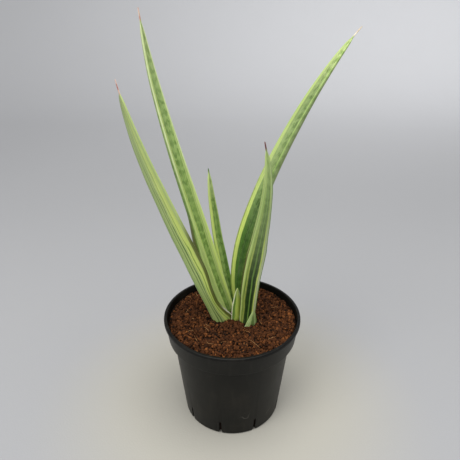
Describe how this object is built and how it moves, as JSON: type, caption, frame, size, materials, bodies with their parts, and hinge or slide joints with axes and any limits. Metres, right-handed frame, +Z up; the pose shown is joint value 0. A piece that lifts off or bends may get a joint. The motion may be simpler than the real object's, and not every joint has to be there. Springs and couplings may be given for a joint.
{
  "type": "potted snake plant",
  "caption": "Young snake plant with tall channelled variegated leaves in coarse potting mix, in a round tapered nursery pot.",
  "frame": {"origin": "centre of the pot's flat underside", "axes": "+Z up along the pot's axis, +X to the right of the front view, +Y away from the front"},
  "size_m": [0.18, 0.12, 0.343],
  "materials": {
    "pot_plastic": "satin",
    "potting_mix": "matte",
    "root": "matte",
    "leaf": "satin",
    "sheath": "satin"
  },
  "bodies": {
    "root": {"pot": "pot_plastic", "soil": "potting_mix", "root_crown": "root", "leaf_left_outer": "leaf", "leaf_left_tall": "leaf", "leaf_centre_young": "leaf", "leaf_right_tall": "leaf", "leaf_right_front": "leaf", "inner_sheath": "sheath", "outer_scale": "sheath"}
  },
  "joints": []
}
